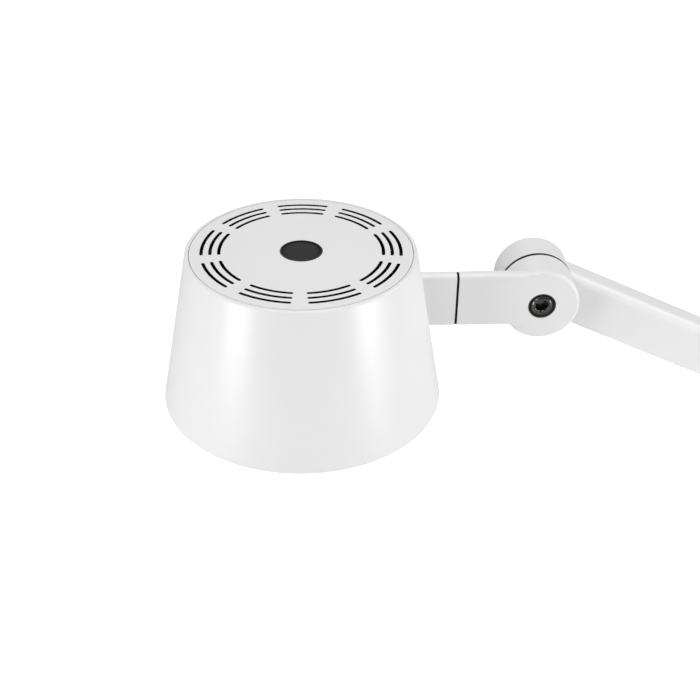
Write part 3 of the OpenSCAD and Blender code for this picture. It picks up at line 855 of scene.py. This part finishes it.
@dataclass
class HingeHardware:
    """One hinge's bolt, nut, washers and cap."""

    name: str
    body: str
    head_radius: float = 5.0 * MM
    head_height: float = 6.0 * MM
    shank_radius: float = 3.0 * MM
    socket_across: float = 5.0 * MM
    socket_depth: float = 3.6 * MM
    knurl_count: int = 32
    knurl_ridge: float = 0.34 * MM
    knurl_room: float = 0.25 * MM
    knurl_sink: float = 0.08 * MM
    knurl_short: float = 0.5 * MM
    knurl_shift: float = 0.1 * MM
    socket_bevel: tuple[float, float] = (0.55 * MM, 0.75 * MM)
    head_bevel: tuple[float, float] = (0.8 * MM, 0.6 * MM)
    bolt_rounding: float = 0.12 * MM
    socket_inner: float = 1.0 * MM
    socket_margins: tuple[float, float] = (0.02 * MM, 0.1 * MM)
    # The washer's lip and spread grow it out into the gap, where it carries painted shade.
    washer_lip: float = 0.86 * MM
    washer_spread: float = 0.14 * MM
    washer_fit: float = 0.05 * MM
    cap_rim: float = 1.6 * MM
    cap_slope: float = 0.6 * MM
    cap_dish: float = 0.25 * MM
    cap_rounding: float = 0.35 * MM
    bolt_steps: int = 96
    washer_steps: int = 128

    def build(self, shop: Workshop) -> None:
        """Builds the bolt, the cap and the washer, and dresses the bush, nut and spring washer.

        Args:
            shop: The frame and the finishes.
        """
        self.bolt(shop)
        self.cap(shop)
        self.washer(shop)
        shop.dress(f"{self.name}_bush", f"{self.name}_nut", f"{self.name}_spring_washer")

    def measured(self, part: str) -> tuple[Vector, float, float]:
        """Measures one of the hinge's round CAD parts.

        Args:
            part: The last word of the part's name.

        Returns:
            The middle of its front face, its radius and its length along Y.
        """
        low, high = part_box(f"{self.name}_{part}")
        centre = Vector(((low.x + high.x) / 2, low.y, (low.z + high.z) / 2))
        return centre, (high.x - low.x) / 2, high.y - low.y

    def bolt(self, shop: Workshop) -> None:
        """Builds the socket head bolt with its knurl.

        Args:
            shop: The frame and the finishes.
        """
        centre, _, length = self.measured("bolt")
        metal = shop.finishes.add(
            TurnedFinish(
                f"{self.name}_bolt_steel",
                (0.1, 0.096, 0.093),
                roughness=0.2,
                metallic=1.0,
                grain_depth=0.000006,
                centre=tuple(centre),
                axis=Axis.Y,
            )
        )
        radius, socket = self.head_radius - self.knurl_room, self.socket_across / 2
        socket_width, socket_drop = self.socket_bevel
        head_width, head_drop = self.head_bevel
        outline = [
            (0.0, self.socket_depth),
            (socket, self.socket_depth),
            (socket, socket_drop),
            (socket + socket_width, 0.0),
            (radius - head_width, 0.0),
            (radius, head_drop),
            (radius, self.head_height),
            (self.shank_radius, self.head_height),
            (self.shank_radius, length),
            (0.0, length),
        ]
        outline = softened(outline, self.bolt_rounding)
        head = turned(f"{self.name}_socket_bolt", outline, Axis.Y, centre, self.bolt_steps)
        self.hex_socket(head, centre)
        head.data.materials.append(metal)
        shop.settle(head, self.body, f"{self.name}_bolt")
        middle = Vector((0.0, self.head_height / 2 + self.knurl_shift, 0.0))
        ridges = Knurl(metal).run(
            f"{self.name}_bolt_knurl",
            {
                "Count": self.knurl_count,
                "Radius": radius - self.knurl_sink,
                "Ridge radius": self.knurl_ridge,
                "Length": self.head_height - self.knurl_short,
                "Place": centre + middle,
            },
        )
        shop.settle(ridges, self.body, slot="black_oxide_steel")

    def hex_socket(self, head: Piece, centre: Vector) -> None:
        """Pushes the round socket's wall out to six flats.

        Args:
            head: The bolt, whose socket is round.
            centre: The middle of the head's face.
        """
        wall_margin, floor_margin = self.socket_margins
        limit, floor = self.socket_across / 2 + wall_margin, self.socket_depth + floor_margin
        for vertex in head.data.vertices:
            offset = vertex.co - centre
            reach = math.hypot(offset.x, offset.z)
            if self.socket_inner < reach < limit and offset.y < floor:
                angle = math.atan2(offset.z, offset.x) % (math.pi / 3) - math.pi / 6
                grown = reach / math.cos(angle)
                vertex.co.x = centre.x + offset.x / reach * grown
                vertex.co.z = centre.z + offset.z / reach * grown
        smooth(head)

    def washer(self, shop: Workshop) -> None:
        """Builds the dark washer between the discs, grown with a flared near-black rim that fills
        the gap's edge as painted shade.

        Args:
            shop: The frame and the finishes.
        """
        centre, radius, thickness = self.measured("washer")
        radius += self.washer_lip
        inner, spread = self.shank_radius + self.washer_fit, self.washer_spread
        outline = [
            (inner, 0.0),
            (radius - 2 * spread, 0.0),
            (radius, -spread),
            (radius, thickness + spread),
            (radius - 2 * spread, thickness),
            (inner, thickness),
        ]
        name = f"{self.name}_gap_washer"
        ring = turned(name, outline, Axis.Y, centre, self.washer_steps, loop=True)
        # Near-black on the grown rim: painted shade in the gap between the discs.
        ring.data.materials.append(shop.finishes.materials["painted_shade_black"])
        shop.settle(ring, self.body, f"{self.name}_washer")

    def cap(self, shop: Workshop) -> None:
        """Builds the cap over the nut, with a rounded rim and a shallow dish.

        Args:
            shop: The frame and the finishes.
        """
        centre, radius, thickness = self.measured("cap")
        rim, dish = radius - self.cap_rim, thickness - self.cap_dish
        outline = [
            (0.0, 0.0),
            (radius, 0.0),
            (radius, thickness),
            (rim, thickness),
            (rim - self.cap_slope, dish),
            (0.0, dish),
        ]
        outline = softened(outline, self.cap_rounding)
        cap = turned(f"{self.name}_nut_cap", outline, Axis.Y, centre, self.bolt_steps)
        shop.settle(cap, self.body, f"{self.name}_cap")


@dataclass
class Turret:
    """The swivelling turret on the foot."""

    def build(self, shop: Workshop) -> None:
        """Dresses the turret and its swivel hardware."""
        shop.dress("turret", "swivel_washer", "swivel_bolt", "swivel_spring_washer")


@dataclass
class Arm:
    """One arm with its cover and the wire inside."""

    name: str

    def build(self, shop: Workshop) -> None:
        """Dresses the arm's nodes."""
        shop.dress(self.name, f"{self.name}_cover", f"{self.name}_wire")


@dataclass
class Neck:
    """The swivelling neck between the head hinge and the shade."""

    edge_radius: float = 2.4 * MM
    corner_steps: int = 10
    # The gasket is grown out towards the seam's edges, to carry painted shade there.
    gasket_grown: float = 0.35 * MM
    sunk: float = 0.4 * MM

    def build(self, shop: Workshop) -> None:
        """Builds the stub and the gasket, and dresses the neck's other nodes.

        Args:
            shop: The frame and the finishes.
        """
        shop.dress("knuckle", "swivel_axle", "axle_nut", "axle_washer", "neck_clamp", "neck_screws")
        low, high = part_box("neck_stub")
        stub = self.bar("neck_stub_bar", low, high, self.edge_radius, self.on_shade)
        shop.settle(stub, "head", "neck_stub")
        # A real dark gasket, widened and made near-black as painted shade in the seam.
        low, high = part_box("seam_gasket")
        grown = Vector((0.0, self.gasket_grown, self.gasket_grown))
        low, high = low - grown, high + grown
        edge = self.edge_radius
        gasket = self.bar("seam_gasket_bar", low, high, edge, lambda across, height: low.x)
        gasket.data.materials.append(shop.finishes.materials["painted_shade_black"])
        shop.settle(gasket, "neck", "seam_gasket")

    def on_shade(self, across: float, height: float) -> float:
        """Gives the place along X at which the neck enters the shade's cone.

        Args:
            across: Place along Y.
            height: Place along Z.

        Returns:
            The place along X, a little inside the cone's surface.
        """
        top = plate_top()
        radius = SHADE_TOP_RADIUS + shade_slope() * (top.z - height) - self.sunk
        return top.x + math.sqrt(radius**2 - (across - top.y) ** 2)

    def bar(self, name: str, low: Vector, high: Vector, edge: float, end: EndPlace) -> Piece:
        """Builds a bar along X with round edges and closed ends.

        Args:
            name: The bar's name.
            low: The bar's lowest corner.
            high: The bar's highest corner.
            edge: Radius of the long edges.
            end: Where the bar ends on its -X side, for a place along Y and Z.

        Returns:
            The bar.
        """
        middle = (low + high) / 2
        half_y, half_z = (high.y - low.y) / 2 - edge, (high.z - low.z) / 2 - edge
        outline = []
        for turn, (side_y, side_z) in enumerate(((1, 1), (-1, 1), (-1, -1), (1, -1))):
            for step in range(self.corner_steps + 1):
                angle = math.radians(90.0 * (turn + step / self.corner_steps))
                across = middle.y + side_y * half_y + edge * math.cos(angle)
                outline.append((across, middle.z + side_z * half_z + edge * math.sin(angle)))
        work = bmesh.new()
        near = [work.verts.new((high.x, across, height)) for across, height in outline]
        far = [work.verts.new((end(across, height), across, height)) for across, height in outline]
        far_middle = end(middle.y, middle.z)
        caps = (
            (near, work.verts.new((high.x, middle.y, middle.z))),
            (far, work.verts.new((far_middle, middle.y, middle.z))),
        )
        for k in range(len(outline)):
            after = (k + 1) % len(outline)
            work.faces.new((near[k], near[after], far[after], far[k]))
            for ring, centre in caps:
                work.faces.new((ring[k], ring[after], centre))
        return kept(name, work)


@dataclass
class ShadeTop:
    """The shade, its slotted plate and the button in the middle."""

    shade_edge: float = 0.8 * MM
    shade_wall: float = 1.8 * MM
    rim_radius: float = 48.15 * MM
    lip_width: float = 3.5 * MM
    lip_height: float = 2.0 * MM
    lip_cone: float = 3.0 * MM
    light_depth: float = 60.0 * MM
    plate_thickness: float = 1.5 * MM
    slot_groups: int = 9
    slot_rows: int = 3
    slot_span_deg: float = 29.0
    slot_turn_deg: float = 8.0
    slot_in: float = 5.2 * MM
    slot_pitch: float = 3.75 * MM
    slot_width: float = 1.5 * MM
    hole_radius: float = 9.2 * MM
    post_count: int = 3
    post_turn_deg: float = 30.0
    post_ring: float = 24.0 * MM
    post_radius: float = 3.5 * MM
    post_bore: float = 1.6 * MM
    post_bore_depth: float = 7.0 * MM
    post_overlap: float = 0.01 * MM
    stem_radius: float = 2.5 * MM
    button_thickness: float = 2.4 * MM
    button_bevel: tuple[float, float] = (0.45 * MM, 0.3 * MM)
    button_rim_drop: float = 0.02 * MM
    button_face_mm: tuple[tuple[float, float], ...] = (
        (7.5, 0.02),
        (7.2, 0.22),
        (6.9, 0.04),
        (3.6, 0.1),
        (0.0, 0.12),
    )
    button_rounding: float = 0.12 * MM
    shade_steps: int = 288
    arc_steps: int = 8
    post_steps: int = 48
    button_steps: int = 128

    def build(self, shop: Workshop) -> None:
        """Builds the shade and what lies in its top.

        Args:
            shop: The frame and the finishes.
        """
        shop.dress("button_switch", "button_bezel")
        low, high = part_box("vent_plate")
        top = plate_top()
        self.shade(shop, top)
        self.plate(shop, top, (high.x - low.x) / 2)
        self.posts(shop, top, low.z - high.z)
        self.button(shop, top)

    def shade(self, shop: Workshop, top: Vector) -> None:
        """Turns the shade's cone with its rounded rims and the lip under the plate.

        Args:
            shop: The frame and the finishes.
            top: The middle of the plate's upper face.
        """
        low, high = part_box("shade")
        wide, tall, edge = (high.x - low.x) / 2, high.z - low.z, self.shade_edge
        slope = shade_slope()
        facing = math.degrees(math.atan(slope))
        lip_low = -self.plate_thickness - self.lip_height
        cone_low = lip_low - self.lip_cone
        lip_radius = self.rim_radius - self.lip_width
        inner_top = SHADE_TOP_RADIUS - self.shade_wall
        outline = [
            (self.rim_radius, -self.plate_thickness),
            (self.rim_radius, 0.0),
            *self.arc(SHADE_TOP_RADIUS - edge, -edge, edge, 90.0, facing),
            *self.arc(wide - edge, edge - tall, edge, facing, -90.0),
            (wide - self.shade_wall, -tall),
            (inner_top + slope * self.light_depth, -self.light_depth),
            (inner_top - slope * cone_low, cone_low),
            (lip_radius, lip_low),
            (lip_radius, -self.plate_thickness),
        ]
        shade = turned("shade_cone", outline, Axis.Z, top, self.shade_steps, loop=True)
        shop.settle(shade, "head", "shade")

    def arc(self, radius: float, along: float, edge: float, start: float, end: float) -> Outline:
        """Gives the points of a rounded edge.

        Args:
            radius: Radius at which the rounding's centre lies.
            along: Height of that centre.
            edge: The rounding's own radius.
            start: First angle in degrees.
            end: Last angle in degrees.

        Returns:
            The points in order.
        """
        points = []
        for step in range(self.arc_steps + 1):
            angle = math.radians(start + (end - start) * step / self.arc_steps)
            points.append((radius + edge * math.cos(angle), along + edge * math.sin(angle)))
        return points

    def plate(self, shop: Workshop, top: Vector, radius: float) -> None:
        """Builds the slotted plate.

        Args:
            shop: The frame and the finishes.
            top: The middle of the plate's upper face.
            radius: The plate's radius.
        """
        made = shop.finishes.materials
        plate = SlottedPlate(made["white_aluminium"], made["painted_shade_black"]).run(
            "slotted_plate",
            {
                "Radius": radius,
                "Hole radius": self.hole_radius,
                "Thickness": self.plate_thickness,
                "Groups": self.slot_groups,
                "Rows": self.slot_rows,
                "Span": math.radians(self.slot_span_deg),
                "Turn": math.radians(self.slot_turn_deg),
                "First row radius": radius - self.slot_in,
                "Row pitch": self.slot_pitch,
                "Slot width": self.slot_width,
                "Place": top - Vector((0.0, 0.0, self.plate_thickness)),
            },
        )
        shop.settle(plate, "head", "vent_plate")

    def posts(self, shop: Workshop, top: Vector, low: float) -> None:
        """Builds the three posts that carry the heat sink.

        Args:
            shop: The frame and the finishes.
            top: The middle of the plate's upper face.
            low: The posts' lower end, below that face.
        """
        high = self.post_overlap - self.plate_thickness
        bore_top = low + self.post_bore_depth
        outline = [
            (0.0, bore_top),
            (self.post_bore, bore_top),
            (self.post_bore, low),
            (self.post_radius, low),
            (self.post_radius, high),
            (0.0, high),
        ]
        for number in range(self.post_count):
            angle = math.radians(self.post_turn_deg + 360 / self.post_count * number)
            place = Axis.Z.place(self.post_ring, 0.0, angle)
            name = f"plate_post_{number + 1}"
            post = turned(name, outline, Axis.Z, top + place, self.post_steps)
            shop.settle(post, "head", slot="white_aluminium")

    def button(self, shop: Workshop, top: Vector) -> None:
        """Builds the button with a fine groove near its rim and a shallow dish inside it.

        Args:
            shop: The frame and the finishes.
            top: The middle of the plate's upper face.
        """
        box_low, box_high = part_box("push_button")
        low, high = box_low.z - top.z, box_high.z - top.z
        radius, under = (box_high.x - box_low.x) / 2, high - self.button_thickness
        bevel_width, bevel_drop = self.button_bevel
        outline = [
            (0.0, low),
            (self.stem_radius, low),
            (self.stem_radius, under),
            (radius, under),
            (radius, high - bevel_drop),
            (radius - bevel_width, high - self.button_rim_drop),
            *((reach * MM, high - drop * MM) for reach, drop in self.button_face_mm),
        ]
        material = shop.finishes.add(
            TurnedFinish(
                "button_cap",
                (0.014, 0.0138, 0.0134),
                roughness=0.55,
                specular=0.3,
                grain_per_metre=3000.0,
                grain_depth=0.000008,
                centre=tuple(top),
                ring_pitch=0.0004,
                ring_depth=0.000002,
            )
        )
        outline = softened(outline, self.button_rounding)
        cap = turned("button_cap", outline, Axis.Z, top, self.button_steps)
        cap.data.materials.append(material)
        shop.settle(cap, "button", "push_button")


@dataclass
class LightUnit:
    """What makes the light: heat sink, board, lights, reflector, diffuser and trim."""

    outer_count: int = 16
    inner_count: int = 8
    chip_edge: float = 2.8 * MM
    chip_height: float = 0.8 * MM
    outer_ring: float = 28.5 * MM
    inner_ring: float = 14.85 * MM

    def build(self, shop: Workshop) -> None:
        """Dresses the unit and builds its lights.

        Args:
            shop: The frame and the finishes.
        """
        shop.dress("heat_sink", "heat_sink_screws", "led_board")
        shop.dress("reflector", "diffuser", "trim_ring")
        self.lights(shop)

    def lights(self, shop: Workshop) -> None:
        """Builds the two rings of lights under the board.

        Args:
            shop: The frame and the finishes.
        """
        made = shop.finishes.materials
        chips = ChipRings(made["board_aluminium"], made["led_chip"]).run(
            "light_chips",
            {
                "Outer count": self.outer_count,
                "Inner count": self.inner_count,
                "Outer radius": self.outer_ring,
                "Inner radius": self.inner_ring,
                "Edge": self.chip_edge,
                "Height": self.chip_height,
                "Place": shop.middle("leds"),
            },
        )
        shop.settle(chips, "head", "leds")


@dataclass(frozen=True)
class SoftLamp:
    """One soft lamp of the studio, placed from the shade's top plate."""

    name: str
    azimuth_deg: float
    height_deg: float
    distance: float
    width: float
    tall: float
    power: float

    def build(self, target: Vector) -> None:
        """Hangs the lamp so that it faces the target.

        Args:
            target: The point it faces.
        """
        turn, rise = math.radians(self.azimuth_deg), math.radians(self.height_deg)
        level = Vector((math.sin(turn), -math.cos(turn), 0.0))
        away = level * math.cos(rise) + Vector((0.0, 0.0, math.sin(rise)))
        data = bpy.data.lights.new(self.name, "AREA")
        data.shape = "RECTANGLE"
        data.size = self.width
        data.size_y = self.tall
        data.energy = self.power
        lamp = bpy.data.objects.new(self.name, data)
        lamp.location = target + away * self.distance
        lamp.rotation_euler = (-away).to_track_quat("-Z", "Y").to_euler()
        bpy.context.scene.collection.objects.link(lamp)


@dataclass
class Studio:
    """Pale floor, soft lamps and the camera of the photograph."""

    focal_px: float = 1293.0
    picture_px: float = 700.0
    sensor_mm: float = 36.0
    pitch_deg: float = 33.5
    roll_deg: float = -0.82
    turn_deg: float = 3.4
    distance: float = 0.5527
    plate_px: tuple[float, float] = (301.28, 250.89)
    floor_size: float = 12.0
    floor_glow: float = 0.8
    floor_grey: float = 0.85
    floor_roughness: float = 0.9
    clip_start: float = 0.02
    world_strength: float = 0.195
    lamps: tuple[SoftLamp, ...] = field(
        default_factory=lambda: (
            SoftLamp("strip_left", -58.0, -7.0, 1.6, 0.6, 0.55, 9.9),
            SoftLamp("strip_right", 56.0, -7.0, 1.6, 0.42, 0.55, 7.0),
            SoftLamp("strip_far_right", 67.0, -7.0, 1.6, 0.34, 0.55, 3.6),
            SoftLamp("key", -40.0, 34.0, 1.6, 0.6, 0.9, 6.2),
            SoftLamp("side_right", 92.0, 28.0, 1.6, 0.6, 1.2, 6.8),
            SoftLamp("side_left", -95.0, 25.0, 1.6, 0.6, 1.2, 2.1),
            SoftLamp("back", 180.0, 55.0, 1.6, 0.8, 0.8, 4.8),
            SoftLamp("overhead", 0.0, 89.0, 1.6, 0.8, 0.8, 9.6),
        )
    )

    def camera(self, target: Vector) -> None:
        """Places the camera so that the target falls on its pixel of the photograph.

        Args:
            target: The centre of the shade's top plate.
        """
        pitch, roll = math.radians(self.pitch_deg), math.radians(self.roll_deg)
        turn = math.radians(self.turn_deg)
        ahead = Vector((math.sin(turn), math.cos(turn), 0.0))
        side = Vector((math.cos(turn), -math.sin(turn), 0.0))
        forward = ahead * math.cos(pitch) - Vector((0, 0, 1)) * math.sin(pitch)
        lift = ahead * math.sin(pitch) + Vector((0, 0, 1)) * math.cos(pitch)
        right = side * math.cos(roll) - lift * math.sin(roll)
        up = side * math.sin(roll) + lift * math.cos(roll)
        half = self.picture_px / 2
        across = (self.plate_px[0] - half) / self.focal_px
        rise = (half - self.plate_px[1]) / self.focal_px
        place = target - self.distance * (right * across + up * rise + forward)
        data = bpy.data.cameras.new("camera")
        data.sensor_width = self.sensor_mm
        data.lens = self.focal_px / self.picture_px * self.sensor_mm
        data.clip_start = self.clip_start
        camera = bpy.data.objects.new("camera", data)
        bpy.context.scene.collection.objects.link(camera)
        facing = Matrix((right, up, -forward)).transposed().to_4x4()
        camera.matrix_world = Matrix.Translation(place) @ facing
        bpy.context.scene.camera = camera

    def floor(self) -> None:
        """Makes the pale floor, which the camera sees as white outside the shadows."""
        half = self.floor_size / 2
        corners = [(-half, -half, 0), (half, -half, 0), (half, half, 0), (-half, half, 0)]
        mesh = bpy.data.meshes.new("floor")
        mesh.from_pydata(corners, [], [(0, 1, 2, 3)])
        floor = bpy.data.objects.new("floor", mesh)
        bpy.context.scene.collection.objects.link(floor)
        material = bpy.data.materials.new("floor_pale")
        material.use_nodes = True
        tree = material.node_tree
        shader = tree.nodes["Principled BSDF"]
        shader.inputs["Base Color"].default_value = (*[self.floor_grey] * 3, 1.0)
        shader.inputs["Roughness"].default_value = self.floor_roughness
        shader.inputs["Emission Color"].default_value = (1.0, 1.0, 1.0, 1.0)
        glow = self.for_camera(tree, 0.0, self.floor_glow)
        tree.links.new(glow, shader.inputs["Emission Strength"])
        mesh.materials.append(material)
        floor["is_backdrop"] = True

    def for_camera(self, tree: Tree, others: float, camera: float) -> Socket:
        """Gives one value to the camera's rays and another to all other rays.

        Args:
            tree: The tree to add the nodes to.
            others: The value for the rays that light the scene.
            camera: The value for the rays that the camera sees.

        Returns:
            The chosen value.
        """
        rays = tree.nodes.new("ShaderNodeLightPath")
        chosen = tree.nodes.new("ShaderNodeMapRange")
        chosen.inputs["To Min"].default_value = others
        chosen.inputs["To Max"].default_value = camera
        tree.links.new(rays.outputs["Is Camera Ray"], chosen.inputs["Value"])
        return chosen.outputs["Result"]

    def world(self) -> None:
        """Lights everything evenly from a plain pale world, which the camera sees as white."""
        world = bpy.data.worlds.new("studio")
        world.use_nodes = True
        tree = world.node_tree
        sky = tree.nodes["Background"]
        sky.inputs["Color"].default_value = (1.0, 1.0, 1.0, 1.0)
        tree.links.new(self.for_camera(tree, self.world_strength, 1.0), sky.inputs["Strength"])
        bpy.context.scene.world = world

    def build(self, target: Vector) -> None:
        """Sets up the whole studio around a target.

        Args:
            target: The centre of the shade's top plate.
        """
        self.world()
        self.floor()
        for lamp in self.lamps:
            lamp.build(target)
        self.camera(target)


def main() -> None:
    """Builds the lamp's looks in order."""
    logging.basicConfig(level=logging.INFO, format="%(name)s: %(message)s")
    shop = Workshop()
    Foot().build(shop)
    Turret().build(shop)
    for name, body in (("shoulder", "turret"), ("elbow", "upper_arm"), ("head", "upper_arm")):
        HingeHardware(name, body).build(shop)
    for name in ("lower_arm", "upper_arm"):
        Arm(name).build(shop)
    Neck().build(shop)
    ShadeTop().build(shop)
    LightUnit().build(shop)
    Studio().build(plate_top())
    bpy.context.scene.view_settings.view_transform = "Standard"
    LOG.info("measured the lamp")


if __name__ == "__main__":
    main()
